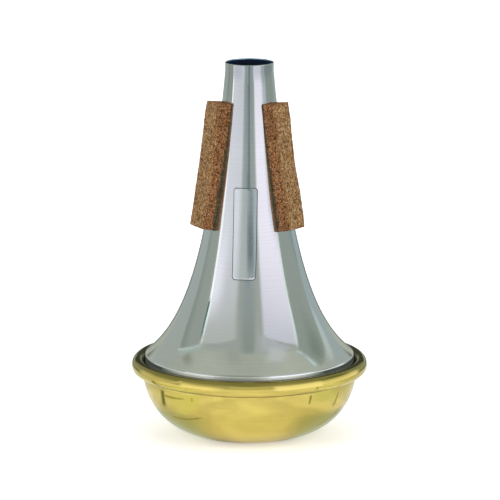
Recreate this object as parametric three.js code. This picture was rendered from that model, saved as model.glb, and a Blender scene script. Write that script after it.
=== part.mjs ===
// Straight mute for a trumpet. A flared horn spun from aluminium sheet drops into a bowl spun from
// brass sheet, and strips of cork are cemented along the narrow half of the horn.
// Millimetres, +Z up. The bowl's flat base is on z = 0 and the open narrow end is at the top.

import * as THREE from 'three';

// The brass bowl, whose rim is rolled outwards into a hollow bead
const bowlSheet = 0.7;
const baseRadius = 18.5;
const bowlRadius = 48.9; // outside of the upright wall
const bowlDepth = 29.4; // base to the height where the wall stands upright
const beadWidth = 5.8; // from the inside of the wall to the outermost edge
const beadHeight = 7;
const beadRise = 2.9; // middle of the bead above the bowl's depth
const beadSlit = 0.4; // left open between the bead's cut edge and the wall

// The aluminium horn, from the skirt in the bowl up to the narrow end
const hornSheet = 0.8;
const overallHeight = 172;
const throatRadius = 11; // outside of the narrow end
const collarHeight = 4; // the straight stretch below the narrow end's rim
const flareLength = 16.3; // how soon the flare opens out: smaller is sharper
const flarePowerShare = 0.195; // the horn law's exponent
const edgeReveal = 1.5; // foot of the flare above the top of the bead
const edgeInsideRadius = 0.4; // inside of the bend from the flare into the skirt
const skirtClearance = 0.3; // between the skirt and the bowl's upright wall
const seatClearance = 0.2; // between the skirt's lower end and the narrowing bowl

// The cork strips and the film of contact cement under each
const corkPlaces = ['back', 'left', 'right'];
const corkWidth = 11.5;
const corkThickness = 5.4;
const corkLength = 57; // measured upright
const corkDrop = 18; // from the narrow end's rim down to the top of the cork
const corkCrownShare = 0.2; // how much of the horn's roundness reaches the outer face
const cementThickness = 0.2;
const cementOverhang = 0.35; // squeezed out past the edge of the cork
const cementClearance = 0.15; // on either side of the film

// How finely the round forms are divided
const roundSteps = 72;
const bowlSteps = 10;
const beadSteps = 12; // one of them falls on the bead's outermost edge
const edgeSteps = 4;
const hornSteps = 13;
const rimSteps = 4;
const corkStepsAcross = 8;
const corkStepsAlong = 7;

// Sizes that follow from those above
const wallInside = bowlRadius - bowlSheet;
const beadMiddleRadius = wallInside + beadWidth / 2;
const beadMiddleHeight = bowlDepth + beadRise;
const flareFoot = beadMiddleHeight + beadHeight / 2 + edgeReveal;
const flareHeight = overallHeight - collarHeight - flareFoot;
const skirtRadius = wallInside - skirtClearance;
const edgeAngle = Math.atan(hornSlope(flareFoot));
const edgeRadius = edgeInsideRadius + hornSheet;
const corkFoot = overallHeight - corkDrop - corkLength;
const corkStandoff = cementClearance + cementThickness + cementClearance;

// Horn law: the widening dies away as a power of the distance from a point below the flare's foot,
// where the horn reaches the skirt's radius.
function flareShare(height) {
  const above = Math.min(Math.max(height - flareFoot, 0), flareHeight);
  return ((above + flareLength) / (flareHeight + flareLength)) ** -flarePowerShare - 1;
}

function hornRadius(height) {
  return throatRadius + (skirtRadius - throatRadius) * flareShare(height) / flareShare(flareFoot);
}

// How much the outer radius shrinks for each millimetre of height.
function hornSlope(height) {
  const above = height - flareFoot + flareLength;
  const fall = flarePowerShare * (flareShare(height) + 1) / above;
  return (skirtRadius - throatRadius) * fall / flareShare(flareFoot);
}

// Points on an ellipse from one angle to another, both ends included.
function ellipseArc(centreR, centreZ, halfWidth, halfHeight, from, to, steps) {
  const points = [];
  for (let i = 0; i <= steps; i += 1) {
    const angle = from + (to - from) * i / steps;
    const r = centreR + halfWidth * Math.cos(angle);
    points.push(new THREE.Vector2(r, centreZ + halfHeight * Math.sin(angle)));
  }
  return points;
}

// The bowl's section from the axis out to the bead's cut edge, set into the sheet by a depth.
// The outside of the bowl runs on as the inside of the bead.
function bowlLine(depth) {
  const halfWidth = beadWidth / 2 - bowlSheet + depth;
  const halfHeight = beadHeight / 2 - bowlSheet + depth;
  const cutEdgeReach = beadMiddleRadius - bowlRadius - beadSlit;
  const cutEdgeAngle = Math.PI - Math.acos(cutEdgeReach / (beadWidth / 2));
  return [
    new THREE.Vector2(0, depth),
    ...ellipseArc(baseRadius, bowlDepth, bowlRadius - baseRadius - depth, bowlDepth - depth,
      -Math.PI / 2, 0, bowlSteps),
    ...ellipseArc(beadMiddleRadius, beadMiddleHeight, halfWidth, halfHeight,
      Math.PI, -cutEdgeAngle, beadSteps),
  ];
}

// Height at which the inside of the narrowing bowl has a given radius.
function bowlInsideHeight(radius) {
  const acrossShare = (radius - baseRadius) / (wallInside - baseRadius);
  return bowlDepth - (bowlDepth - bowlSheet) * Math.sqrt(1 - acrossShare ** 2);
}

// The horn's section from the skirt's lower end up to the rim, set into the sheet by a depth.
// A round bend fills the corner where the skirt meets the flare.
function hornLine(depth) {
  const skirtFoot = bowlInsideHeight(skirtRadius + seatClearance);
  const bendHeight = flareFoot - edgeRadius * Math.tan(edgeAngle / 2);
  const line = [
    new THREE.Vector2(skirtRadius - depth, skirtFoot),
    ...ellipseArc(skirtRadius - edgeRadius, bendHeight, edgeRadius - depth, edgeRadius - depth,
      0, edgeAngle, edgeSteps),
  ];
  // Heights are packed towards the mouth, where the curve is sharp.
  for (let i = 1; i <= hornSteps; i += 1) {
    const above = flareLength * ((1 + flareHeight / flareLength) ** (i / hornSteps) - 1);
    const height = flareFoot + above;
    const lean = Math.atan(hornSlope(height));
    const r = hornRadius(height) - depth * Math.cos(lean);
    line.push(new THREE.Vector2(r, height - depth * Math.sin(lean)));
  }
  return line;
}

// A sheet metal shell, spun round the axis from the two sides of its section.
function spin(outline) {
  const geometry = new THREE.LatheGeometry(outline, roundSteps);
  return geometry.rotateX(Math.PI / 2);
}

function bowlGeometry() {
  return spin([...bowlLine(0), ...bowlLine(bowlSheet).reverse()]);
}

function hornGeometry() {
  const rim = ellipseArc(throatRadius - hornSheet / 2, overallHeight - hornSheet / 2,
    hornSheet / 2, hornSheet / 2, 0, Math.PI, rimSteps);
  const outline = [...hornLine(0), ...rim, ...hornLine(hornSheet).reverse()];
  return spin([...outline, outline[0]]);
}

// Wraps a flat strip onto the horn. Before, x runs across it, y through it and z along it.
// The face on the horn takes the horn's full roundness and the outer face a share of it.
function bendOntoHorn(strip, foot, standoff, thickness, outerShare) {
  const places = strip.getAttribute('position');
  for (let i = 0; i < places.count; i += 1) {
    const across = places.getX(i);
    const through = places.getY(i);
    const height = foot + places.getZ(i);
    const lean = Math.atan(hornSlope(height));
    const roundness = hornRadius(height) / Math.cos(lean) + standoff;
    const sag = roundness - Math.sqrt(roundness ** 2 - across ** 2);
    const sagShare = 1 - (1 - outerShare) * through / thickness;
    const out = standoff + through - sag * sagShare;
    places.setXYZ(i, across, hornRadius(height) + out * Math.cos(lean), height + out * Math.sin(lean));
  }
  return strip;
}

function stripGeometry(width, thickness, length, foot, standoff, outerShare) {
  const strip = new THREE.BoxGeometry(width, thickness, length, corkStepsAcross, 1, corkStepsAlong);
  strip.translate(0, thickness / 2, length / 2);
  return bendOntoHorn(strip, foot, standoff, thickness, outerShare);
}

function corkGeometry() {
  return stripGeometry(corkWidth, corkThickness, corkLength, corkFoot, corkStandoff, corkCrownShare);
}

// The film follows the horn on both of its faces.
function cementGeometry() {
  const width = corkWidth + 2 * cementOverhang;
  const length = corkLength + 2 * cementOverhang;
  return stripGeometry(width, cementThickness, length, corkFoot - cementOverhang, cementClearance, 1);
}

const spunAluminium = { color: 0xc9ccd2, roughness: 0.22, metalness: 1 };
const polishedBrass = { color: 0xd9bf5a, roughness: 0.14, metalness: 1 };
const cork = { color: 0x9a6f48, roughness: 0.92, metalness: 0 };
const contactCement = { color: 0x2a2018, roughness: 0.7, metalness: 0 };

function piece(name, geometry, finish) {
  const mesh = new THREE.Mesh(geometry, new THREE.MeshStandardMaterial(finish));
  mesh.name = name;
  return mesh;
}

const mute = new THREE.Group();
mute.add(piece('end_bowl', bowlGeometry(), polishedBrass));
mute.add(piece('cone_body', hornGeometry(), spunAluminium));

// The strips stand evenly round the horn, the first one at +Y.
corkPlaces.forEach((place, index) => {
  const turn = index * 2 * Math.PI / corkPlaces.length;
  const film = piece(`cork_cement_${place}`, cementGeometry(), contactCement);
  const strip = piece(`cork_strip_${place}`, corkGeometry(), cork);
  film.rotation.z = turn;
  strip.rotation.z = turn;
  mute.add(film, strip);
});

export default mute;
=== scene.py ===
# Straight mute for a trumpet: the dressed model. A polished aluminium horn stands in a brass bowl
# with a rolled rim, and three strips of cork are cemented round the horn's narrow half.
# Metres, +Z up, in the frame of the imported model.
import math
import random
import bpy
from mathutils import Matrix, Vector


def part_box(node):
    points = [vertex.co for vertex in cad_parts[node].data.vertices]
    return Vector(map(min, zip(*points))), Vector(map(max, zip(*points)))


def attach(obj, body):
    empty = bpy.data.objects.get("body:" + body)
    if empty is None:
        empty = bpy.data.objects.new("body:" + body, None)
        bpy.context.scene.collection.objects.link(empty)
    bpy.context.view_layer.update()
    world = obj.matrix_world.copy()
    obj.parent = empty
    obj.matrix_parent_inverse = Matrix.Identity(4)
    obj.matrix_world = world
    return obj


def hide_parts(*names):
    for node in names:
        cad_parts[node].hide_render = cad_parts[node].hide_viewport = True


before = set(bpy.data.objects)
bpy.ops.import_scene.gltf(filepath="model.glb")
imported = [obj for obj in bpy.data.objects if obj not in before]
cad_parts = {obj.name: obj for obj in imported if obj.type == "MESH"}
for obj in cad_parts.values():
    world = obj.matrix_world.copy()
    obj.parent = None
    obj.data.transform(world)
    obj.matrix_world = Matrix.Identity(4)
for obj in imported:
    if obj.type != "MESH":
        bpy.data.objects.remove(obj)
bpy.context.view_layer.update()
print("frame loaded:", len(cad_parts), "nodes")


# Camera

shot = {
    "turn": 5.8,  # degrees round the mute from its front
    "rise": 11.756,  # degrees above the level
    "distance": 1.706,
    "lens": 269.2,  # mm on a 36 mm sensor
    "aimHeight": 0.08517,
    "aimRight": 0.00025,
}


def aroundMute(turn, rise, distance):  # a place seen from the mute, in degrees from its front
    level = distance * math.cos(math.radians(rise))
    turn = math.radians(turn)
    return Vector((level * math.sin(turn), -level * math.cos(turn), distance * math.sin(math.radians(rise))))


def lookAt(obj, place, target):
    obj.location = place
    obj.rotation_mode = "QUATERNION"
    obj.rotation_quaternion = (target - place).to_track_quat("-Z", "Y")


def makeCamera():
    aim = aroundMute(shot["turn"] + 90, 0, shot["aimRight"]) + Vector((0, 0, shot["aimHeight"]))
    bpy.ops.object.camera_add()
    camera = bpy.context.object
    camera.data.lens = shot["lens"]
    camera.data.clip_start = 0.1
    lookAt(camera, aim + aroundMute(shot["turn"], shot["rise"], shot["distance"]), aim)
    bpy.context.scene.camera = camera


makeCamera()
bpy.context.scene.view_settings.view_transform = "Standard"
print("camera set")


# Small helpers for materials and for edit mode

def addNode(tree, kind, values=None, **settings):
    node = tree.nodes.new(kind)
    for name, value in settings.items():
        setattr(node, name, value)
    for name, value in (values or {}).items():
        node.inputs[name].default_value = value
    return node


def newFinish(name):
    finish = bpy.data.materials.new(name)
    finish.use_nodes = True
    tree = finish.node_tree
    return finish, tree, tree.nodes["Principled BSDF"], addNode(tree, "ShaderNodeTexCoord")


def colourRamp(tree, factor, stops, interpolation="LINEAR"):
    ramp = addNode(tree, "ShaderNodeValToRGB")
    ramp.color_ramp.interpolation = interpolation
    while len(ramp.color_ramp.elements) < len(stops):
        ramp.color_ramp.elements.new(0.5)
    for element, (place, colour) in zip(ramp.color_ramp.elements, stops):
        element.position = place
        element.color = (*colour, 1)
    tree.links.new(factor, ramp.inputs["Fac"])
    return ramp.outputs["Color"]


def addBump(tree, height, distance, strength, under=None):
    bump = addNode(tree, "ShaderNodeBump", {"Distance": distance, "Strength": strength})
    tree.links.new(height, bump.inputs["Height"])
    if under:
        tree.links.new(under, bump.inputs["Normal"])
    return bump.outputs["Normal"]


def rangeOf(tree, value, low, high, lowResult, highResult):
    spread = addNode(tree, "ShaderNodeMapRange", {
        "From Min": low, "From Max": high, "To Min": lowResult, "To Max": highResult})
    tree.links.new(value, spread.inputs["Value"])
    return spread.outputs["Result"]


def calculate(tree, operation, first, second):
    step = addNode(tree, "ShaderNodeMath", operation=operation)
    for socket, value in zip(step.inputs, (first, second)):
        if isinstance(value, (int, float)):
            socket.default_value = value
        else:
            tree.links.new(value, socket)
    return step.outputs["Value"]


def bandShare(tree, value, low, high, fade):  # 1 from low to high, and 0 past a fade on either side
    above = rangeOf(tree, value, low - fade, low, 0, 1)
    return calculate(tree, "MULTIPLY", above, rangeOf(tree, value, high, high + fade, 1, 0))


def mixed(tree, share, first, second, kind="MIX"):
    mix = addNode(tree, "ShaderNodeMixRGB", blend_type=kind)
    for socket, value in zip(mix.inputs, (share, first, second)):
        if isinstance(value, (int, float)):
            socket.default_value = value
        elif isinstance(value, tuple):
            socket.default_value = (*value, 1)
        else:
            tree.links.new(value, socket)
    return mix.outputs["Color"]


def startFresh():  # nothing selected, so that an operator touches only what comes next
    if bpy.context.object and bpy.context.object.mode != "OBJECT":
        bpy.ops.object.mode_set(mode="OBJECT")
    bpy.ops.object.select_all(action="DESELECT")


def editOn(selectKind="VERT"):
    bpy.ops.object.mode_set(mode="EDIT")
    bpy.ops.mesh.select_mode(type=selectKind)


def editOff():
    bpy.ops.object.mode_set(mode="OBJECT")


def pick(obj, parts, test):  # selects vertices, edges or faces by a test, and stays in edit mode
    editOn({"vertices": "VERT", "edges": "EDGE", "polygons": "FACE"}[parts])
    bpy.ops.mesh.select_all(action="DESELECT")
    editOff()
    for part in getattr(obj.data, parts):
        part.select = test(part)
    bpy.ops.object.mode_set(mode="EDIT")


def settle(obj, name):  # place, turn and size go into the mesh
    bpy.ops.object.transform_apply(location=True, rotation=True, scale=True)
    obj.name = name
    obj.data.name = name


# Metal finishes

# painted shade and highlight bands on the metal: where a band's colours run from the front to the sides, and
# how its dulling changes the metal
paintedBands = {
    "front": -0.048,  # y where a band with several colours has its first one
    "sides": -0.03,  # and its last one
    "roughens": 0.35,  # what full dulling adds to the roughness
    "metallicLeft": 0.35,  # and what it leaves of the metal
}


def spunMetal(name, colour, look):
    finish, tree, shader, coords = newFinish(name)
    place = addNode(tree, "ShaderNodeSeparateXYZ")
    tree.links.new(coords.outputs["Object"], place.inputs["Vector"])
    # fine lines left by turning lie level round the axis
    lines = addNode(tree, "ShaderNodeTexNoise", {"Scale": look["lineScale"], "Detail": 3.0, "Roughness": 0.6},
                    noise_dimensions="1D")
    tree.links.new(place.outputs["Z"], lines.inputs["W"])
    ripples = addNode(tree, "ShaderNodeTexNoise", {"Scale": look["rippleScale"], "Detail": 1.0})
    tree.links.new(coords.outputs["Object"], ripples.inputs["Vector"])
    smears = addNode(tree, "ShaderNodeTexNoise", {"Scale": look["smearScale"], "Detail": 4.0})
    tree.links.new(coords.outputs["Object"], smears.inputs["Vector"])
    darker = tuple(channel * look["smearShade"] for channel in colour)
    tint = colourRamp(tree, smears.outputs["Fac"], ((0.3, colour), (0.75, darker)))
    lineTone = rangeOf(tree, lines.outputs["Fac"], 0.3, 0.7, look["lineShade"], 1)
    tint = mixed(tree, 1, tint, lineTone, "MULTIPLY")
    low, high = look["roughness"]
    roughness = rangeOf(tree, smears.outputs["Fac"], 0.35, 0.7, low, high)
    # painted shade, painted highlight and painted reflection tints lie in level bands round the axis, and
    # both tint and dull the metal
    squares = []
    for axis in "XY":
        side = calculate(tree, "ABSOLUTE", place.outputs[axis], 0)
        squares.append(calculate(tree, "POWER", side, 2))
    fromAxis = calculate(tree, "POWER", calculate(tree, "ADD", *squares), 0.5)
    bandDulling = 0
    for low, high, inside, outside, fade, tinted, dulled, paintedLight in look["bands"]:
        share = bandShare(tree, place.outputs["Z"], low, high, fade)
        share = calculate(tree, "MULTIPLY", share, bandShare(tree, fromAxis, inside, outside, fade))
        if isinstance(paintedLight[0], tuple):  # its painted colours from the front to the sides, as what the metal mirrors changes round it
            toSides = rangeOf(tree, place.outputs["Y"], paintedBands["front"], paintedBands["sides"], 0, 1)
            paintedLight = colourRamp(tree, toSides, paintedLight)
        tint = mixed(tree, calculate(tree, "MULTIPLY", share, tinted), tint, paintedLight)
        bandDulling = calculate(tree, "MAXIMUM", bandDulling, calculate(tree, "MULTIPLY", share, dulled))
    if bandDulling:
        roughness = calculate(tree, "ADD", roughness, calculate(tree, "MULTIPLY", bandDulling, paintedBands["roughens"]))
        tree.links.new(rangeOf(tree, bandDulling, 0, 1, 1, paintedBands["metallicLeft"]), shader.inputs["Metallic"])
    else:
        shader.inputs["Metallic"].default_value = look["metallic"]
    tree.links.new(roughness, shader.inputs["Roughness"])
    tree.links.new(tint, shader.inputs["Base Color"])
    normal = addBump(tree, ripples.outputs["Fac"], look["rippleDepth"], 1.0)
    normal = addBump(tree, lines.outputs["Fac"], look["lineDepth"], 1.0, normal)
    if look["tilt"]:
        normal = addBump(tree, place.outputs["X"], look["tilt"], 1.0, normal)
    tree.links.new(normal, shader.inputs["Normal"])
    return finish


# Each band: low and high end, inside and outside distance from the axis, how far it fades past them, how
# much it tints and dulls, its colour or its colours
aluminiumLook = {
    "lineScale": 1700.0, "lineDepth": 0.000005, "lineShade": 0.95,
    "rippleScale": 60.0, "rippleDepth": 0.00005,
    "smearScale": 45.0, "smearShade": 0.96, "roughness": (0.06, 0.11), "tilt": 0,
    # the bend at the flare's foot: painted shade at the front, lighter towards the sides
    "bands": ((0.0368, 0.0376, 0.04, 0.06, 0.0003, 0.9, 0,
               ((0, (0.56, 0.59, 0.54)), (0.05, (0.66, 0.68, 0.65)), (0.12, (0.9, 0.905, 0.915)))),
              # the skirt above the bead: painted shade at the very front, a painted highlight just off it,
              # and painted shade growing almost black towards the sides
              (0.0355, 0.0367, 0.04, 0.06, 0.0003, 0.95, 0.85,
               ((0, (0.36, 0.39, 0.34)), (0.05, (0.5, 0.53, 0.48)), (0.12, (0.85, 0.88, 0.82)),
                (0.4, (0.82, 0.85, 0.76)), (0.8, (0.3, 0.35, 0.28)), (1, (0.06, 0.085, 0.06)))),
              # painted shade on the skirt's foot, down in the groove inside the bead
              (0, 0.0352, 0.04, 0.06, 0.0003, 0.6, 0.6, (0.02, 0.03, 0.02)),
              # painted shade: the upper horn up to the collar tinted bluish grey, which dims what it mirrors
              (0.168, 0.18, 0, 0.02, 0.035, 0.25, 0, (0.36, 0.4, 0.42)),
              # painted reflection: a blue tint inside the throat
              (0.16, 0.18, 0, 0.0106, 0.0003, 0.8, 0.02, (0.35, 0.6, 1.0))),
}
plateLook = dict(aluminiumLook, roughness=(0.08, 0.12), tilt=0.02, bands=(), metallic=0.89)
brassLook = {
    "lineScale": 900.0, "lineDepth": 0.000003, "lineShade": 0.97,
    "rippleScale": 55.0, "rippleDepth": 0.00035,
    "smearScale": 30.0, "smearShade": 0.93, "roughness": (0.05, 0.1), "tilt": 0,
    # painted shade: the top of the bead darker
    "bands": ((0.0349, 0.04, 0, 0.06, 0.0007, 0.38, 0.04, (0.1, 0.1, 0.045)),
              # painted shade on the inside of the bead's curl, in the groove round the horn
              (0.0305, 0.04, 0, 0.0502, 0.0006, 0.75, 0.3, (0.16, 0.18, 0.1)),
              # painted shade in a level line on the wall under the bead's cut edge
              (0.0279, 0.0292, 0, 0.06, 0.0002, 0.6, 0.15, (0.14, 0.09, 0.02))),
}
aluminium = spunMetal("spunAluminium", (0.9, 0.905, 0.915), aluminiumLook)
plateMetal = spunMetal("plateAluminium", (0.93, 0.955, 0.985), plateLook)
brass = spunMetal("polishedBrass", (0.66, 0.535, 0.138), brassLook)
print("metal finishes made")


# Horn and bowl: sections drawn point by point and turned round the axis

hornLow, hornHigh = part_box("cone_body")
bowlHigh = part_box("end_bowl")[1]
weldWithin = 0.000002  # closes the seam of a turned section

bowl = {
    "sheet": 0.0007,
    "baseRadius": 0.0185,
    "depth": 0.0294,  # base to the height where the wall stands upright
    "beadWidth": 0.0058,  # from the inside of the wall to the outermost edge
    "beadHeight": 0.007,
    "beadSlit": 0.0004,
    "wallSteps": 44,
    "beadSteps": 52,
    "roundSteps": 256,
}
bowl["wallInside"] = bowlHigh.x - bowl["beadWidth"]
bowl["radius"] = bowl["wallInside"] + bowl["sheet"]
bowl["beadMiddle"] = Vector((bowlHigh.x - bowl["beadWidth"] / 2, bowlHigh.z - bowl["beadHeight"] / 2))

horn = {
    "sheet": 0.0008,
    "throatRadius": 0.011,
    "collar": 0.004,
    "flareLength": 0.0163,
    "flarePower": 0.195,
    "reveal": 0.0015,  # foot of the flare above the top of the bead
    "bendInside": 0.0004,
    "stations": 64,
    "bendSteps": 10,
    "rimSteps": 10,
    "hold": 0.00012,  # a ring this far past each round edge keeps its shading from spreading
    "roundSteps": 256,
}
horn["top"] = hornHigh.z
horn["skirtRadius"] = hornHigh.x
horn["skirtFoot"] = hornLow.z
horn["flareFoot"] = bowlHigh.z + horn["reveal"]
horn["flareHeight"] = horn["top"] - horn["collar"] - horn["flareFoot"]


def flareShare(height):
    above = min(max(height - horn["flareFoot"], 0), horn["flareHeight"])
    reach = (above + horn["flareLength"]) / (horn["flareHeight"] + horn["flareLength"])
    return reach ** -horn["flarePower"] - 1


def hornRadius(height):
    spread = horn["skirtRadius"] - horn["throatRadius"]
    return horn["throatRadius"] + spread * flareShare(height) / flareShare(horn["flareFoot"])


def hornLean(height):  # how far the surface leans in from upright
    above = height - horn["flareFoot"] + horn["flareLength"]
    spread = horn["skirtRadius"] - horn["throatRadius"]
    fall = horn["flarePower"] * (flareShare(height) + 1) / above
    return math.atan(spread * fall / flareShare(horn["flareFoot"]))


def arc(centre, halfWidth, halfHeight, fromTurn, toTurn, steps):
    points = []
    for i in range(steps + 1):
        turn = fromTurn + (toTurn - fromTurn) * i / steps
        points.append((centre[0] + halfWidth * math.cos(turn), centre[1] + halfHeight * math.sin(turn)))
    return points


def hornSide(depth):  # skirt's foot to the throat, set into the sheet by a depth
    bendRadius = horn["bendInside"] + horn["sheet"]
    bendTurn = hornLean(horn["flareFoot"])
    bendHeight = horn["flareFoot"] - bendRadius * math.tan(bendTurn / 2)
    points = [(horn["skirtRadius"] - depth, horn["skirtFoot"]),
              (horn["skirtRadius"] - depth, bendHeight - horn["hold"])]
    points += arc((horn["skirtRadius"] - bendRadius, bendHeight), bendRadius - depth, bendRadius - depth,
                  0, bendTurn, horn["bendSteps"])
    growth = 1 + horn["flareHeight"] / horn["flareLength"]
    for i in range(1, horn["stations"] + 1):
        height = horn["flareFoot"] + horn["flareLength"] * (growth ** (i / horn["stations"]) - 1)
        lean = hornLean(height)
        points.append((hornRadius(height) - depth * math.cos(lean), height - depth * math.sin(lean)))
    collarRadius = horn["throatRadius"] - depth
    collarFoot = horn["top"] - horn["collar"]
    collarTop = horn["top"] - horn["sheet"] / 2
    points += [(collarRadius, collarFoot + horn["hold"]), (collarRadius, collarTop - horn["hold"])]
    return points


def bowlSide(depth):  # from the axis out to the bead's cut edge, set into the sheet by a depth
    middle = bowl["beadMiddle"]
    reach = middle.x - bowl["radius"] - bowl["beadSlit"]
    cutTurn = math.pi - math.acos(reach / (bowl["beadWidth"] / 2))
    shrink = depth - bowl["sheet"]
    wall = arc((bowl["baseRadius"], bowl["depth"]), bowl["radius"] - bowl["baseRadius"] - depth,
               bowl["depth"] - depth, -math.pi / 2, 0, bowl["wallSteps"])
    bead = arc(middle, bowl["beadWidth"] / 2 + shrink, bowl["beadHeight"] / 2 + shrink,
               math.pi, -cutTurn, bowl["beadSteps"])
    return [(0, depth)] + wall + bead


def drawSection(points):  # one vertex, pulled out to the next point again and again
    startFresh()
    bpy.ops.mesh.primitive_plane_add(size=0.001, location=(points[0][0], 0, points[0][1]))
    editOn()
    bpy.ops.mesh.select_all(action="SELECT")
    bpy.ops.mesh.merge(type="CENTER")
    for (r0, z0), (r1, z1) in zip(points, points[1:]):
        bpy.ops.mesh.extrude_region_move(TRANSFORM_OT_translate={"value": (r1 - r0, 0, z1 - z0)})
    editOff()
    return bpy.context.object


def turnSection(section, name, steps, closed):
    settle(section, name)
    if closed:
        last = len(section.data.vertices) - 1
        pick(section, "vertices", lambda vertex: vertex.index in (0, last))
        bpy.ops.mesh.edge_face_add()
        editOff()
    editOn()
    bpy.ops.mesh.select_all(action="SELECT")
    bpy.ops.mesh.spin(steps=steps, angle=2 * math.pi, center=(0, 0, 0), axis=(0, 0, 1))
    bpy.ops.mesh.select_all(action="SELECT")
    bpy.ops.mesh.remove_doubles(threshold=weldWithin)
    bpy.ops.mesh.normals_make_consistent(inside=False)
    editOff()
    bpy.ops.object.shade_smooth_by_angle(angle=math.radians(40))


def finishPiece(piece, finishes, slotName, *nodes):
    for finish in finishes:
        piece.data.materials.append(finish)
    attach(piece, "root")
    if nodes:
        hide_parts(*nodes)


def makeHorn():
    halfSheet = horn["sheet"] / 2
    rim = arc((horn["throatRadius"] - halfSheet, horn["top"] - halfSheet), halfSheet, halfSheet,
              0, math.pi, horn["rimSteps"])
    section = drawSection(hornSide(0) + rim + hornSide(horn["sheet"])[::-1])
    turnSection(section, "horn", horn["roundSteps"], closed=True)
    finishPiece(section, [aluminium], "horn", "cone_body")


def makeBowl():
    section = drawSection(bowlSide(0) + bowlSide(bowl["sheet"])[::-1])
    turnSection(section, "bowl", bowl["roundSteps"], closed=False)
    finishPiece(section, [brass], "bowl", "end_bowl")


makeHorn()
print("horn turned")
makeBowl()
print("bowl turned")


# Cork strips and the cement under them

cork = {
    "width": 0.0115,
    "thickness": 0.0056,
    "length": 0.057,  # measured upright
    "drop": 0.018,  # from the rim down to the top of the cork
    "standoff": 0.0003,
    "crown": 0.2,  # how much of the horn's roundness reaches the outer face
    "edgeWear": 0.0003,
    "cuts": (30, 13, 150),  # across, through and along
    "grain": 0.0009,  # size of a granule
    "pitDepth": 0.00028,
    "ragged": 0.0003,
    # each strip is cut by hand: how much thicker it is at its right and left edge, from the top down
    "trim": {
        "back": ((0, 0, 0), (1, 0, 0)),
        "left": ((0, 0, 0.0004), (0.1, 0, 0.0009), (0.5, 0, 0.001), (0.7, 0, 0.0012), (1, 0, 0.001)),
        "right": ((0, -0.0004, -0.0004), (0.12, 0, 0), (0.5, 0.0001, 0.0001), (0.72, 0.001, 0.001),
                  (0.92, 0.001, 0.001), (1, 0.0006, 0.0006)),
    },
    # how far up the right and left side the cork is darkened from the horn, from the top down: cement soaked
    # in, and painted shade where the cork meets the horn
    "stainAndShade": ((0, 0.0004, 0.0004), (0.3, 0.0006, 0.0005), (0.65, 0.0016, 0.001), (1, 0.0012, 0.0008)),
    "stainAndShadeVaries": (0.8, 0.4),  # least share of it, and how much more by chance
    "frayed": 0.0007,  # beside the folds the two finishes mingle
    "frayChance": 0.4,
}
corkGrain = {
    "wander": 0.0006,  # how far the seams between the granules stray
    "seamWidth": 0.09,
    "seamShade": 0.6,
    "darkest": 0.45,  # share of the binder's colour
    "holeSpacing": 1.9,  # in granules
    "holeShade": 0.8,
    "streakStretch": 0.06,
    "streakShades": (0.82, 1.13),
    "shine": 0.12,
}
cement = {
    "thickness": 0.00024,
    "overhang": 0.00014,
    "standoff": 0.00003,
    "cuts": (24, 1, 120),
    "lumps": 0.0002,
}
places = {"back": 0, "left": 120, "right": 240}  # degrees round from +Y


def flatStrip(width, thickness, length, wear, cuts):
    startFresh()
    bpy.ops.mesh.primitive_cube_add(size=1, location=(0, thickness / 2, length / 2),
                                    scale=(width, thickness, length))
    strip = bpy.context.object
    settle(strip, "strip")
    if wear:
        editOn("EDGE")
        bpy.ops.mesh.select_all(action="SELECT")
        bpy.ops.mesh.bevel(offset=wear, segments=2, affect="EDGES")
        editOff()
    for axis, number in enumerate(cuts):
        def runsAlong(edge):
            first, second = (strip.data.vertices[i].co for i in edge.vertices)
            span = second - first
            return abs(span[axis]) > 0.9 * span.length and span.length > 2 * wear
        pick(strip, "edges", runsAlong)
        bpy.ops.mesh.subdivide(number_cuts=number)
        editOff()
    return strip


def trimAt(trim, down, across):  # extra thickness, drawn straight between the rows and the two edges
    for (above, right0, left0), (below, right1, left1) in zip(trim, trim[1:]):
        if down <= below:
            part = (down - above) / (below - above)
            right, left = right0 + (right1 - right0) * part, left0 + (left1 - left0) * part
            return right + (left - right) * across
    return 0


def wrapOntoHorn(strip, foot, standoff, thickness, outerShare, length=0, width=0, trim=None):
    # the face on the horn takes its full roundness, and the outer face a share of it
    for vertex in strip.data.vertices:
        across, through, along = vertex.co
        height = foot + along
        if trim:
            down = min(max(1 - along / length, 0), 1)
            through *= 1 + trimAt(trim, down, across / width + 0.5) / thickness
        lean = hornLean(height)
        roundness = hornRadius(height) / math.cos(lean) + standoff
        sag = roundness - math.sqrt(roundness ** 2 - across ** 2)
        out = standoff + through - sag * (1 - (1 - outerShare) * through / thickness)
        vertex.co = (across, hornRadius(height) + out * math.cos(lean), height + out * math.sin(lean))


def roughen(piece, name, kind, size, depth, middle=0.5):
    texture = bpy.data.textures.new(name, kind)
    texture.noise_scale = size
    if kind == "VORONOI":
        texture.distance_metric = "DISTANCE"
    else:
        texture.noise_depth = 2
    displace = piece.modifiers.new(name, "DISPLACE")
    displace.texture = texture
    displace.texture_coords = "LOCAL"
    displace.strength = depth
    displace.mid_level = middle
    bpy.ops.object.modifier_apply(modifier=name)


def standAt(source, name, place, shape):
    startFresh()
    source.select_set(True)
    bpy.context.view_layer.objects.active = source
    bpy.ops.object.duplicate()
    copy = bpy.context.object
    shape(copy)
    copy.rotation_euler.z = math.radians(places[place])
    settle(copy, name)
    return copy


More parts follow.
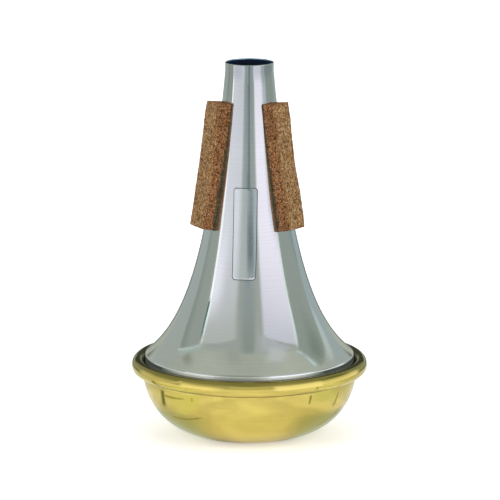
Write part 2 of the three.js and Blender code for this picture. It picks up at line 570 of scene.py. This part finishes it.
def corkFinish(name, grain, tones, binder, speckled):
    finish, tree, shader, coords = newFinish(name)
    wander = addNode(tree, "ShaderNodeTexNoise", {"Scale": 1500.0, "Detail": 2.0})
    tree.links.new(coords.outputs["Object"], wander.inputs["Vector"])
    shifted = mixed(tree, corkGrain["wander"], coords.outputs["Object"], wander.outputs["Color"], "ADD")
    granules = addNode(tree, "ShaderNodeTexVoronoi", {"Scale": 1 / grain})
    tree.links.new(shifted, granules.inputs["Vector"])
    seams = addNode(tree, "ShaderNodeTexVoronoi", {"Scale": 1 / grain}, feature="DISTANCE_TO_EDGE")
    tree.links.new(shifted, seams.inputs["Vector"])
    cellTone = addNode(tree, "ShaderNodeSeparateColor")
    tree.links.new(granules.outputs["Color"], cellTone.inputs["Color"])
    tone = colourRamp(tree, cellTone.outputs["Red"], tones)
    hue = mixed(tree, cellTone.outputs["Green"], (1.08, 0.96, 0.87), (0.92, 1.04, 1.13))
    tone = mixed(tree, 1, tone, hue, "MULTIPLY")
    seamShare = rangeOf(tree, seams.outputs["Distance"], 0.0, corkGrain["seamWidth"], 1, 0)
    tone = mixed(tree, calculate(tree, "MULTIPLY", seamShare, corkGrain["seamShade"]), tone, binder)
    specks = addNode(tree, "ShaderNodeTexNoise", {"Scale": 2700.0, "Detail": 2.0, "Roughness": 0.6})
    tree.links.new(coords.outputs["Object"], specks.inputs["Vector"])
    darkest = tuple(channel * corkGrain["darkest"] for channel in binder)
    tone = mixed(tree, rangeOf(tree, specks.outputs["Fac"], 0.49, 0.59, 0, speckled), tone, darkest)
    # holes of about a granule's size
    holes = addNode(tree, "ShaderNodeTexVoronoi", {"Scale": 1 / (corkGrain["holeSpacing"] * grain)})
    tree.links.new(shifted, holes.inputs["Vector"])
    holeShare = rangeOf(tree, holes.outputs["Distance"], 0.14, 0.3, 1, 0)
    tone = mixed(tree, calculate(tree, "MULTIPLY", holeShare, corkGrain["holeShade"]), tone, darkest)
    # growth lines run along the strip
    along = addNode(tree, "ShaderNodeMapping")
    along.inputs["Scale"].default_value = (1, 1, corkGrain["streakStretch"])
    tree.links.new(coords.outputs["Object"], along.inputs["Vector"])
    streaks = addNode(tree, "ShaderNodeTexNoise", {"Scale": 850.0, "Detail": 2.0})
    tree.links.new(along.outputs["Vector"], streaks.inputs["Vector"])
    shade = rangeOf(tree, streaks.outputs["Fac"], 0.35, 0.65, *corkGrain["streakShades"])
    tone = mixed(tree, 1, tone, shade, "MULTIPLY")
    tree.links.new(tone, shader.inputs["Base Color"])
    tree.links.new(rangeOf(tree, specks.outputs["Fac"], 0.3, 0.7, 0.8, 0.95), shader.inputs["Roughness"])
    shader.inputs["Specular IOR Level"].default_value = corkGrain["shine"]
    normal = addBump(tree, seamShare, 0.0002, 0.6)
    normal = addBump(tree, specks.outputs["Fac"], 0.00025, 0.7, normal)
    tree.links.new(normal, shader.inputs["Normal"])
    return finish


corkFace = corkFinish("corkFace", cork["grain"], (
    (0.0, (0.19, 0.082, 0.022)), (0.2, (0.35, 0.19, 0.068)), (0.55, (0.5, 0.305, 0.14)),
    (0.85, (0.63, 0.42, 0.22)), (1.0, (0.32, 0.155, 0.048))), (0.12, 0.048, 0.011), 0.76)
corkCut = corkFinish("corkCut", 0.75 * cork["grain"], (
    (0.0, (0.14, 0.05, 0.013)), (0.25, (0.29, 0.125, 0.043)), (0.55, (0.46, 0.22, 0.096)),
    (0.85, (0.57, 0.295, 0.14)), (1.0, (0.22, 0.08, 0.024))), (0.07, 0.025, 0.006), 0.86)
# dark cork for the sides next to the horn: cement stain and painted shade
corkStainAndShade = corkFinish("corkStainAndShade", cork["grain"], (
    (0.0, (0.06, 0.045, 0.025)), (0.4, (0.15, 0.11, 0.062)), (0.7, (0.21, 0.15, 0.08)),
    (1.0, (0.1, 0.07, 0.035))), (0.035, 0.028, 0.016), 0.8)


# dark cement: its edge squeezed out beside the cork is partly cement and partly painted shade along the
# cork's edge
def cementFinish():
    finish, tree, shader, coords = newFinish("cementAndEdgeShade")
    lumps = addNode(tree, "ShaderNodeTexNoise", {"Scale": 700.0, "Detail": 3.0})
    tree.links.new(coords.outputs["Object"], lumps.inputs["Vector"])
    tone = colourRamp(tree, lumps.outputs["Fac"], (
        (0.35, (0.045, 0.036, 0.016)), (0.7, (0.12, 0.096, 0.048))))
    tree.links.new(tone, shader.inputs["Base Color"])
    tree.links.new(rangeOf(tree, lumps.outputs["Fac"], 0.3, 0.7, 0.45, 0.75), shader.inputs["Roughness"])
    tree.links.new(addBump(tree, lumps.outputs["Fac"], 0.0002, 0.6), shader.inputs["Normal"])
    return finish


cementAndEdgeShade = cementFinish()


def makeCork():
    strip = flatStrip(cork["width"], cork["thickness"], cork["length"], cork["edgeWear"], cork["cuts"])
    for finish in (corkFace, corkCut, corkStainAndShade):
        strip.data.materials.append(finish)
    chance = random.Random(5)
    least, spread = cork["stainAndShadeVaries"]
    for face in strip.data.polygons:
        across, through, along = face.center
        isFace = face.normal.y > 0.8
        toFold = cork["thickness"] - through
        if isFace:
            toFold = min(cork["width"] / 2 - abs(across), along, cork["length"] - along)
        if toFold < cork["frayed"] and chance.random() < cork["frayChance"]:
            isFace = not isFace
        # the sides darken near the horn: cement stain and painted shade
        darkenedUpTo = trimAt(cork["stainAndShade"], 1 - along / cork["length"], across / cork["width"] + 0.5)
        darkenedUpTo *= least + spread * chance.random()
        face.material_index = 0 if isFace else 2 if through < darkenedUpTo else 1
    foot = horn["top"] - cork["drop"] - cork["length"]
    for place in places:
        piece = standAt(strip, "cork_" + place, place, lambda copy: wrapOntoHorn(
            copy, foot, cork["standoff"], cork["thickness"], cork["crown"], cork["length"], cork["width"],
            cork["trim"][place]))
        roughen(piece, "granules", "VORONOI", cork["grain"], cork["pitDepth"], 0.4)
        roughen(piece, "crumbs", "CLOUDS", cork["grain"] * 0.6, cork["ragged"])
        bpy.ops.object.shade_smooth_by_angle(angle=math.radians(50))
        finishPiece(piece, [], "cork", "cork_strip_" + place)
    bpy.data.objects.remove(strip)


def makeCement():
    overhang = cement["overhang"]
    width, length = cork["width"] + 2 * overhang, cork["length"] + 2 * overhang
    film = flatStrip(width, cement["thickness"], length, 0, cement["cuts"])
    foot = horn["top"] - cork["drop"] - cork["length"] - overhang
    for place in places:
        piece = standAt(film, "cement_" + place, place, lambda copy: wrapOntoHorn(
            copy, foot, cement["standoff"], cement["thickness"], 1))
        roughen(piece, "lumps", "CLOUDS", 0.0025, cement["lumps"])
        bpy.ops.object.shade_smooth_by_angle(angle=math.radians(60))
        finishPiece(piece, [cementAndEdgeShade], "cement", "cork_cement_" + place)
    bpy.data.objects.remove(film)


makeCork()
print("cork strips cut")
makeCement()
print("cement laid")


# Bare plate on the horn's front: a low pad inside an engraved line

plate = {
    "width": 0.0109,
    "foot": 0.0764,
    "length": 0.0408,
    "corner": 0.0015,
    "line": 0.00038,
    "lineHeight": 0.00003,
    "padHeight": 0.00007,
    "flatShare": 0.3,  # how much less round than the horn the pad is
    "cutsAcross": 16,
    "cutsAlong": 28,
}


def engravingFinish():
    finish, tree, shader, coords = newFinish("engravedLine")
    wear = addNode(tree, "ShaderNodeTexNoise", {"Scale": 900.0, "Detail": 2.0})
    tree.links.new(coords.outputs["Object"], wear.inputs["Vector"])
    tone = colourRamp(tree, wear.outputs["Fac"], ((0.3, (0.05, 0.075, 0.08)), (0.75, (0.13, 0.17, 0.17))))
    tree.links.new(tone, shader.inputs["Base Color"])
    shader.inputs["Metallic"].default_value = 0.5
    tree.links.new(rangeOf(tree, wear.outputs["Fac"], 0.3, 0.7, 0.4, 0.6), shader.inputs["Roughness"])
    return finish


def makePlate():
    startFresh()
    bpy.ops.mesh.primitive_plane_add(size=1, rotation=(math.pi / 2, 0, 0),
                                     location=(0, 0, plate["length"] / 2))
    pad = bpy.context.object
    pad.scale = (plate["width"], plate["length"], 1)
    settle(pad, "plate")
    editOn()
    bpy.ops.mesh.select_all(action="SELECT")
    bpy.ops.mesh.bevel(offset=plate["corner"], segments=6, affect="VERTICES")
    bpy.ops.mesh.select_mode(type="FACE")
    bpy.ops.mesh.select_all(action="SELECT")
    bpy.ops.mesh.inset(thickness=plate["line"], depth=0)
    editOff()
    for finish in (plateMetal, engravingFinish()):
        pad.data.materials.append(finish)
    largest = max(pad.data.polygons, key=lambda face: face.area).index
    for face in pad.data.polygons:
        face.material_index = 0 if face.index == largest else 1
    inner = set(pad.data.polygons[largest].vertices)
    for vertex in pad.data.vertices:
        vertex.co.y = plate["padHeight"] if vertex.index in inner else plate["lineHeight"]
    editOn()
    for axis, cuts, low, span in ((0, plate["cutsAcross"], -plate["width"] / 2, plate["width"]),
                                  (2, plate["cutsAlong"], 0, plate["length"])):
        direction = Vector((axis == 0, 0, axis == 2))
        for i in range(1, cuts):
            bpy.ops.mesh.select_all(action="SELECT")
            bpy.ops.mesh.bisect(plane_co=direction * (low + span * i / cuts), plane_no=direction)
    editOff()
    for vertex in pad.data.vertices:
        across, proud, along = vertex.co
        height = plate["foot"] + along
        lean = hornLean(height)
        radius = hornRadius(height)
        if proud > plate["lineHeight"] * 1.2:  # the pad, which is flatter than the horn
            proud += plate["flatShare"] * (radius - math.sqrt(radius ** 2 - across ** 2))
        reach = radius + proud * math.cos(lean)
        turn = math.asin(across / radius)
        vertex.co = (reach * math.sin(turn), -reach * math.cos(turn), height + proud * math.sin(lean))
    bpy.ops.object.shade_smooth_by_angle(angle=math.radians(30))
    finishPiece(pad, [], "horn")


makePlate()
print("plate laid")


# Studio: a white floor, and round the mute a dome of plain screens that only the metal sees

studio = {
    "distance": 0.68,  # from the mute to the farthest screen
    "layer": 0.003,  # how much nearer each further screen stands
    "domeBehind": 0.15,  # from the farthest screen to the dome
    "middle": 0.06,  # height of the dome's middle
    "ceiling": (0.42, 0.455, 0.375),
    "ambient": 0.42,
    "floorColour": 0.88,
    "floorLift": 0.45,  # added where the camera looks, so that the floor is white
    "floorShine": 0.16,  # added where the metal looks
    "shineVaries": 0.12,
    "footShine": 0.22,  # more of it in front of the bowl's foot
    "footShineAhead": 0.062,
    "footShineReach": (0.01, 0.042),  # from the spot where it is full to where it ends
}


def mirroredShare(tree):  # 1 for what a reflection or a refraction sees
    rays = addNode(tree, "ShaderNodeLightPath").outputs
    return calculate(tree, "MAXIMUM", rays["Is Glossy Ray"], rays["Is Transmission Ray"])


def cameraShare(tree):
    return addNode(tree, "ShaderNodeLightPath").outputs["Is Camera Ray"]


def makeWorld():
    world = bpy.data.worlds.new("studioAir")
    bpy.context.scene.world = world
    world.use_nodes = True
    tree = world.node_tree
    background = tree.nodes["Background"]
    background.inputs["Color"].default_value = (1, 1, 1, 1)
    seen = calculate(tree, "MAXIMUM", cameraShare(tree), mirroredShare(tree))
    strength = rangeOf(tree, seen, 0, 1, studio["ambient"], 1)
    tree.links.new(strength, background.inputs["Strength"])


def makeFloor():
    startFresh()
    bpy.ops.mesh.primitive_plane_add(size=12)
    floor = bpy.context.object
    floor.name = "floor"
    finish, tree, shader, coords = newFinish("floorPaper")
    tree.nodes.remove(shader)
    paper = addNode(tree, "ShaderNodeBsdfDiffuse")
    paper.inputs["Color"].default_value = (*[studio["floorColour"]] * 3, 1)
    lift = addNode(tree, "ShaderNodeEmission")
    both = addNode(tree, "ShaderNodeAddShader")
    uneven = addNode(tree, "ShaderNodeTexNoise", {"Scale": 26.0, "Detail": 2.0, "Distortion": 1.0})
    tree.links.new(coords.outputs["Object"], uneven.inputs["Vector"])
    shine = rangeOf(tree, uneven.outputs["Fac"], 0.35, 0.65, studio["floorShine"] - studio["shineVaries"],
                    studio["floorShine"] + studio["shineVaries"])
    far = addNode(tree, "ShaderNodeVectorMath", operation="DISTANCE")
    tree.links.new(coords.outputs["Object"], far.inputs[0])
    far.inputs[1].default_value = aroundMute(shot["turn"], 0, studio["footShineAhead"])
    footShine = rangeOf(tree, far.outputs["Value"], *studio["footShineReach"], studio["footShine"], 0)
    shine = calculate(tree, "ADD", shine, footShine)
    mirrored = calculate(tree, "MULTIPLY", mirroredShare(tree), shine)
    direct = calculate(tree, "MULTIPLY", cameraShare(tree), studio["floorLift"])
    tree.links.new(calculate(tree, "ADD", mirrored, direct), lift.inputs["Strength"])
    tree.links.new(paper.outputs["BSDF"], both.inputs[0])
    tree.links.new(lift.outputs["Emission"], both.inputs[1])
    tree.links.new(both.outputs["Shader"], tree.nodes["Material Output"].inputs["Surface"])
    floor.data.materials.append(finish)


def reflectOnly(obj):
    obj.visible_camera = False
    obj.visible_diffuse = False
    obj.visible_shadow = False


def screenFinish(name, lowColour, highColour, soft):
    # soft gives the faded shares of the screen at its left, right, low and high edge
    finish, tree, shader, coords = newFinish(name)
    tree.nodes.remove(shader)
    place = addNode(tree, "ShaderNodeSeparateXYZ")
    tree.links.new(coords.outputs["UV"], place.inputs["Vector"])
    across, up = place.outputs["X"], place.outputs["Y"]
    colour = colourRamp(tree, up, ((0, lowColour), (1, highColour)), "EASE")
    glow = addNode(tree, "ShaderNodeEmission")
    tree.links.new(colour, glow.inputs["Color"])
    share = None
    edges = ((across, 0, soft[0]), (across, 1, 1 - soft[1]), (up, 0, soft[2]), (up, 1, 1 - soft[3]))
    for position, edge, full in edges:
        if edge == full:
            continue
        fade = addNode(tree, "ShaderNodeMapRange", {"From Min": edge, "From Max": full},
                       interpolation_type="SMOOTHSTEP")
        tree.links.new(position, fade.inputs["Value"])
        faded = fade.outputs["Result"]
        share = calculate(tree, "MULTIPLY", share, faded) if share else faded
    result = glow.outputs["Emission"]
    if share:
        clear = addNode(tree, "ShaderNodeBsdfTransparent")
        mix = addNode(tree, "ShaderNodeMixShader")
        tree.links.new(share, mix.inputs["Fac"])
        tree.links.new(clear.outputs["BSDF"], mix.inputs[1])
        tree.links.new(result, mix.inputs[2])
        result = mix.outputs["Shader"]
    tree.links.new(result, tree.nodes["Material Output"].inputs["Surface"])
    return finish


# Each screen: corners low left, low right, high left and high right as (turn, rise) in degrees from
# the camera's direction, how far its low and high edge arch up, its colour low and high, its soft edges
screens = {
    "backLeft": ((-156, -13), (-114, -13), (-150, 46), (-114, 46), 0, 0,
                 (0.37, 0.42, 0.4), (0.375, 0.41, 0.37), (0.2, 0.05, 0, 0.3)),
    "wallLeft": ((-117.5, -13), (-78, -13), (-118, 31), (-87.5, 40.5), 0, 1.5,
                 (0.32, 0.365, 0.32), (0.31, 0.355, 0.315), (0.06, 0, 0, 0.02)),
    "wallLeftShade": ((-118, -13), (-102, -13), (-118, 31), (-102, 37), 0, 0.5,
                      (0.27, 0.325, 0.3), (0.25, 0.3, 0.27), (0.25, 0.7, 0, 0.05)),
    "glowLeft": ((-122, 31), (-72, 41), (-122, 38), (-68, 50), 2, 2,
                 (0.4, 0.49, 0.455), (0.38, 0.44, 0.4), (0.3, 0.35, 0, 0.8)),
    "lineLeft": ((-120, 29.8), (-85, 40), (-120, 32), (-85, 41.6), 1.5, 1.5,
                 (0.56, 0.66, 0.61), (0.5, 0.59, 0.55), (0.05, 0, 0.2, 0.4)),
    "smudgeLeft": ((-117, 37), (-97, 40), (-117, 54), (-97, 56), 0, 0,
                   (0.27, 0.3, 0.24), (0.3, 0.33, 0.26), (0.4, 0.5, 0.3, 0.6)),
    "front": ((-92, -13), (86, -13), (-92, 42), (86, 46), 0, 19,
              (0.35, 0.385, 0.35), (0.375, 0.405, 0.365), (0.12, 0.03, 0, 0.04)),
    "frontRight": ((10, 40), (80, 41), (10, 61.5), (80, 47), 6, 3,
                   (0.45, 0.475, 0.485), (0.42, 0.45, 0.445), (0.25, 0.2, 0.05, 0.3)),
    "frontLeft": ((-84, 41), (-18, 46), (-84, 45), (-18, 60), 3, 3,
                  (0.345, 0.375, 0.345), (0.375, 0.41, 0.36), (0.3, 0.2, 0.05, 0.3)),
    "gap": ((-26, -13), (16, -13), (-25, 61), (14.5, 62), 0, 1.5,
            (0.325, 0.39, 0.4), (0.265, 0.31, 0.275), (0.5, 0.27, 0, 0.06)),
    "panelLeft": ((-77, -13), (-16, -13), (-80, 42), (-19, 47.5), 0, 3,
                  (0.75, 0.77, 0.84), (0.47, 0.5, 0.47), (0, 0.2, 0, 0.03)),
    "panelRight": ((15, -13), (74, -13), (21, 44.5), (85.5, 41.5), 0, 4,
                   (1.08, 1.05, 1.16), (0.61, 0.62, 0.68), (0.13, 0, 0, 0.03)),
    "lineDark": ((35, 44.5), (84, 40.5), (35, 46.5), (84, 42.2), 2.5, 2.5,
                 (0.3, 0.29, 0.22), (0.34, 0.34, 0.28), (0.5, 0.15, 0.3, 0.3)),
    "stripLeft": ((-80.5, -13), (-71, -13), (-80.5, 20.5), (-74, 20.5), 0, 0,
                  (1.1, 1.12, 1.12), (1.1, 1.14, 1.12), (0.05, 0.3, 0, 0)),
    "stripLeftTop": ((-79.5, 19.5), (-73, 19.5), (-86, 41.5), (-80, 41.5), 0, 0,
                     (1.08, 1.15, 1.1), (0.6, 0.69, 0.66), (0.1, 0.5, 0, 0.1)),
    "wedgeLeft": ((-83, 18.5), (-77.3, 18.5), (-88.5, 39), (-83.5, 39), 0, 0,
                  (0.05, 0.14, 0.13), (0.16, 0.25, 0.24), (0.45, 0.1, 0.03, 0.3)),
    "stripRight": ((66, -13), (74, -13), (79.5, 44), (85.5, 44), 0, 0,
                   (0.84, 0.92, 0.9), (0.72, 0.84, 0.8), (0.6, 0.12, 0, 0.1)),
    "wallRight": ((73, -13), (133, -13), (85.3, 46), (124, 47), 0, 0,
                  (0.31, 0.355, 0.325), (0.28, 0.33, 0.285), (0, 0.08, 0, 0.05)),
    "wallRightShade": ((92, 6), (134, 12), (94, 46), (124, 45), 0, 0,
                       (0.235, 0.28, 0.23), (0.205, 0.25, 0.2), (0.5, 0.4, 0.6, 0.3)),
    "glowRight": ((83, 44), (124, 44), (83, 51), (124, 52), 0, 0,
                  (0.4, 0.48, 0.45), (0.4, 0.46, 0.41), (0.15, 0.3, 0.2, 0.6)),
    "lineRight": ((84, 46), (93, 44.3), (84, 47.6), (93, 45.6), 0, 0,
                  (0.66, 0.75, 0.7), (0.6, 0.7, 0.65), (0.1, 0.2, 0.3, 0.3)),
    "lineRightEnd": ((96, 45.6), (120, 46.5), (96, 47), (119, 50), 0.5, 0,
                     (0.58, 0.72, 0.68), (0.52, 0.64, 0.6), (0.3, 0.25, 0.2, 0.4)),
    "backRight": ((128, -13), (158, -13), (121, 47), (152, 47), 0, 0,
                  (0.34, 0.42, 0.43), (0.37, 0.42, 0.37), (0.2, 0.2, 0, 0.3)),
    "patchRight": ((126, 4), (139, 4), (122, 38), (136, 38), 0, 0,
                   (0.46, 0.56, 0.55), (0.5, 0.56, 0.5), (0.4, 0.4, 0.2, 0.3)),
    "core": ((-6.5, -13), (4.5, -13), (-5.5, 26), (4.5, 26), 0, 0,
             (0.13, 0.19, 0.195), (0.24, 0.29, 0.28), (0.45, 0.45, 0, 0.5)),
    "coreMiddle": ((-13, 5), (4, 5), (-12.5, 22), (4, 22), 0, 0,
                   (0.03, 0.07, 0.08), (0.03, 0.07, 0.08), (0.4, 0.4, 0.35, 0.35)),
    "panelLeftGlow": ((-75, 2), (-36, 2), (-77, 32), (-46, 32), 0, 0,
                      (0.94, 0.96, 1.05), (0.78, 0.81, 0.85), (0, 0.9, 0.4, 0.5)),
    "panelLeftLow": ((-77, -13), (-18, -13), (-77, 3), (-18, 3), 0, 0,
                     (0.6, 0.63, 0.7), (0.62, 0.64, 0.71), (0, 0.5, 0, 0.4)),
    "panelRightLow": ((14, -13), (74, -13), (14, 5), (74, 5), 0, 0,
                      (0.72, 0.73, 0.81), (0.82, 0.82, 0.9), (0.15, 0, 0, 0.4)),
    "edgeRightLow": ((46, -13), (75, -13), (50, 9), (78, 9), 0, 0,
                     (0.38, 0.44, 0.46), (0.44, 0.5, 0.53), (0.6, 0, 0, 0.18)),
    "wallRightLow": ((74, -13), (133, -13), (77, 4), (133, 4), 0, 0,
                     (0.24, 0.295, 0.29), (0.26, 0.31, 0.3), (0, 0.2, 0, 0.5)),
    "frontRightHigh": ((28, 50), (76, 47), (28, 74), (76, 66), 0, 0,
                       (0.52, 0.55, 0.53), (0.5, 0.53, 0.5), (0.35, 0.35, 0.3, 0.4)),
    "frontLeftHigh": ((-50, 50), (-14, 52), (-50, 74), (-14, 76), 0, 0,
                      (0.35, 0.38, 0.32), (0.36, 0.39, 0.32), (0.35, 0.35, 0.3, 0.4)),
    "back": ((150, 7), (210, 7), (150, 60), (210, 60), 0, 0,
             (0.055, 0.065, 0.07), (0.1, 0.1, 0.07), (0.2, 0.2, 0.05, 0.3)),
}


def heightLeaning(lean):  # where the horn leans in so far
    low, high = horn["flareFoot"], horn["top"] - horn["collar"]
    for i in range(20):
        middle = (low + high) / 2
        low, high = (middle, high) if hornLean(middle) > lean else (low, middle)
    return low


def onDome(turn, rise, forward):  # straight out from where the horn shows this direction to the camera
    sight = aroundMute(shot["turn"] + turn, rise, 1)
    facing = (sight + aroundMute(shot["turn"], shot["rise"], 1)).normalized()
    height = heightLeaning(math.asin(facing.z))
    level = Vector((facing.x, facing.y, 0)).normalized()
    return level * hornRadius(height) + Vector((0, 0, height)) + sight * (studio["distance"] - forward)


def makeScreen(name, forward):
    lowLeft, lowRight, highLeft, highRight, lowArch, highArch, lowColour, highColour, soft = screens[name]
    startFresh()
    bpy.ops.mesh.primitive_grid_add(x_subdivisions=32, y_subdivisions=20, size=1)
    screen = bpy.context.object
    screen.name = name
    for vertex in screen.data.vertices:
        across, up = vertex.co.x + 0.5, vertex.co.y + 0.5
        low = Vector(lowLeft).lerp(Vector(lowRight), across)
        high = Vector(highLeft).lerp(Vector(highRight), across)
        turn, rise = low.lerp(high, up)
        rise += 4 * across * (1 - across) * (lowArch + (highArch - lowArch) * up)
        vertex.co = onDome(turn, rise, forward)
    screen.data.materials.append(screenFinish(name, lowColour, highColour, soft))
    reflectOnly(screen)


def makeDome():
    startFresh()
    bpy.ops.mesh.primitive_uv_sphere_add(segments=64, ring_count=32, location=(0, 0, studio["middle"]),
                                         radius=studio["distance"] + studio["domeBehind"])
    dome = bpy.context.object
    dome.name = "dome"
    editOn()
    bpy.ops.mesh.select_all(action="SELECT")
    bpy.ops.mesh.bisect(plane_co=(0, 0, 0), plane_no=(0, 0, 1), clear_inner=True)
    editOff()
    finish, tree, shader, coords = newFinish("domeCloth")
    tree.nodes.remove(shader)
    clouds = addNode(tree, "ShaderNodeTexNoise", {"Scale": 0.9, "Detail": 3.0})
    tree.links.new(coords.outputs["Object"], clouds.inputs["Vector"])
    darker = tuple(channel * 0.9 for channel in studio["ceiling"])
    lighter = tuple(channel * 1.1 for channel in studio["ceiling"])
    cloth = colourRamp(tree, clouds.outputs["Fac"], ((0.35, darker), (0.65, lighter)))
    glow = addNode(tree, "ShaderNodeEmission")
    tree.links.new(cloth, glow.inputs["Color"])
    tree.links.new(glow.outputs["Emission"], tree.nodes["Material Output"].inputs["Surface"])
    dome.data.materials.append(finish)
    reflectOnly(dome)


# Cards so low and near that the camera sees them only in the bead and in the edge of the horn: from one
# turn to another, distance, foot, top, colour low and high, soft edges
nearCards = {
    "cardMiddle": (-25, 27, 0.13, 0.026, 0.116,
                   (0.78, 0.8, 0.76), (0.6, 0.62, 0.6), (0.25, 0.25, 0, 0.2)),
    "cardLeft": (-50, -13, 0.08, 0.0225, 0.048,
                 (1.5, 1.47, 1.62), (0.9, 0.9, 0.95), (0.12, 0.4, 0, 0.3)),
    "cardRight": (14, 54, 0.08, 0.0225, 0.056,
                  (1.5, 1.5, 1.8), (1.25, 1.25, 1.4), (0.12, 0.12, 0, 0.3)),
    "sideRight": (46, 104, 0.09, 0.024, 0.07,
                  (1.25, 1.25, 1.35), (0.6, 0.62, 0.6), (0.15, 0.2, 0.1, 0.45)),
    "sideLeft": (-104, -50, 0.09, 0.024, 0.066,
                 (0.85, 0.85, 0.85), (0.45, 0.47, 0.43), (0.2, 0.2, 0.1, 0.45)),
}


def makeNearCard(name):
    start, end, distance, foot, top, lowColour, highColour, soft = nearCards[name]
    startFresh()
    bpy.ops.mesh.primitive_grid_add(x_subdivisions=16, y_subdivisions=4, size=1)
    card = bpy.context.object
    card.name = name
    for vertex in card.data.vertices:
        side = aroundMute(shot["turn"] + start + (vertex.co.x + 0.5) * (end - start), 0, distance)
        vertex.co = (side.x, side.y, foot + (vertex.co.y + 0.5) * (top - foot))
    card.data.materials.append(screenFinish(name, lowColour, highColour, soft))
    reflectOnly(card)


# Flags that lie on the floor for the bowl to mirror: both ends as (right, away) in metres as the camera
# sees the floor, width at both ends, height, colour
floorFlags = {
    "flagLeft": ((-0.106, -0.002), (-0.054, -0.009), 0.015, 0.009, 0.0008, (0.24, 0.28, 0.15)),
    "flagLeftDown": ((-0.086, -0.006), (-0.072, -0.05), 0.011, 0.007, 0.0008, (0.42, 0.46, 0.26)),
    "flagLeftThin": ((-0.047, -0.012), (-0.031, -0.043), 0.003, 0.003, 0.0008, (0.5, 0.5, 0.36)),
    "flagLeftLow": ((-0.078, -0.063), (-0.06, -0.053), 0.003, 0.003, 0.0008, (0.66, 0.64, 0.36)),
    "flagRight": ((0.094, 0.001), (0.056, -0.012), 0.004, 0.006, 0.0008, (0.5, 0.55, 0.4)),
    "flagRightThin": ((0.056, 0.006), (0.034, -0.02), 0.004, 0.003, 0.0008, (0.5, 0.52, 0.42)),
    "flagRightDown": ((0.054, -0.046), (0.09, -0.062), 0.003, 0.006, 0.0008, (0.32, 0.35, 0.2)),
    "flagGreenLeft": ((-0.1, -0.05), (-0.04, -0.03), 0.09, 0.04, 0.0004, (1.02, 1.08, 0.86)),
    "flagGreenRight": ((0.064, -0.03), (0.12, -0.04), 0.06, 0.1, 0.0004, (0.92, 1.0, 0.86)),
}


def makeFloorFlag(name):
    start, end, startWidth, endWidth, height, colour = floorFlags[name]
    startFresh()
    bpy.ops.mesh.primitive_plane_add(size=1)
    card = bpy.context.object
    card.name = name
    start, end = Vector(start), Vector(end)
    aside = Vector((start.y - end.y, end.x - start.x)).normalized()
    turn = Matrix.Rotation(math.radians(shot["turn"]), 2)
    for vertex in card.data.vertices:
        along = vertex.co.x + 0.5
        width = startWidth + (endWidth - startWidth) * along
        spot = turn @ (start.lerp(end, along) + aside * vertex.co.y * width)
        vertex.co = (spot.x, spot.y, height)
    card.data.materials.append(screenFinish(name, colour, colour, (0.2, 0.2, 0.35, 0.35)))
    reflectOnly(card)


# Darker rings on the floor round the sides and the back, seen only in reflections: painted shade, with the
# bowl's painted shadow among them. From one turn to another, near and far edge, height, colour, soft edges
floorRings = {
    "footShade": (26, 334, 0.026, 0.058, 0.0002, (0.58, 0.66, 0.62), (0.1, 0.1, 0, 0.35)),
    "sideShade": (74, 286, 0.07, 0.26, 0.0006, (0.77, 0.8, 0.74), (0.08, 0.08, 0.2, 0.3)),
    "sideFloor": (28, 332, 0.2, 0.82, 0.0009, (0.6, 0.64, 0.6), (0.05, 0.05, 0.1, 0)),
    "backFloor": (96, 264, 0.2, 0.82, 0.0012, (0.2, 0.24, 0.22), (0.15, 0.15, 0.1, 0)),
}


def makeFloorRing(name):
    start, end, near, far, height, colour, soft = floorRings[name]
    startFresh()
    bpy.ops.mesh.primitive_grid_add(x_subdivisions=64, y_subdivisions=6, size=1)
    card = bpy.context.object
    card.name = name
    for vertex in card.data.vertices:
        turn = start + (vertex.co.x + 0.5) * (end - start)
        spot = aroundMute(shot["turn"] + turn, 0, near + (vertex.co.y + 0.5) * (far - near))
        vertex.co = (spot.x, spot.y, height)
    card.data.materials.append(screenFinish(name, colour, colour, soft))
    reflectOnly(card)


# Lamps: turn and rise in degrees, distance, size, power
softLamps = {
    "lampLeft": (shot["turn"] - 48, 28, 1.25, 0.9, 6.2),
    "lampRight": (shot["turn"] + 48, 28, 1.25, 0.9, 6.8),
    "lampTop": (0, 89, 1.4, 1.2, 5),
    "lampBack": (shot["turn"] + 180, 35, 1.5, 1.0, 5),
}


def makeLamp(name):
    turn, rise, distance, size, power = softLamps[name]
    startFresh()
    bpy.ops.object.light_add(type="AREA")
    lamp = bpy.context.object
    lamp.name = name
    lamp.data.size = size
    lamp.data.energy = power
    middle = Vector((0, 0, shot["aimHeight"]))
    lookAt(lamp, middle + aroundMute(turn, rise, distance), middle)
    lamp.visible_glossy = False
    lamp.visible_camera = False


makeWorld()
makeFloor()
makeDome()
for number, screen in enumerate(screens):
    makeScreen(screen, studio["layer"] * number)
for card in nearCards:
    makeNearCard(card)
for flag in floorFlags:
    makeFloorFlag(flag)
for ring in floorRings:
    makeFloorRing(ring)
for lamp in softLamps:
    makeLamp(lamp)
print("studio set")
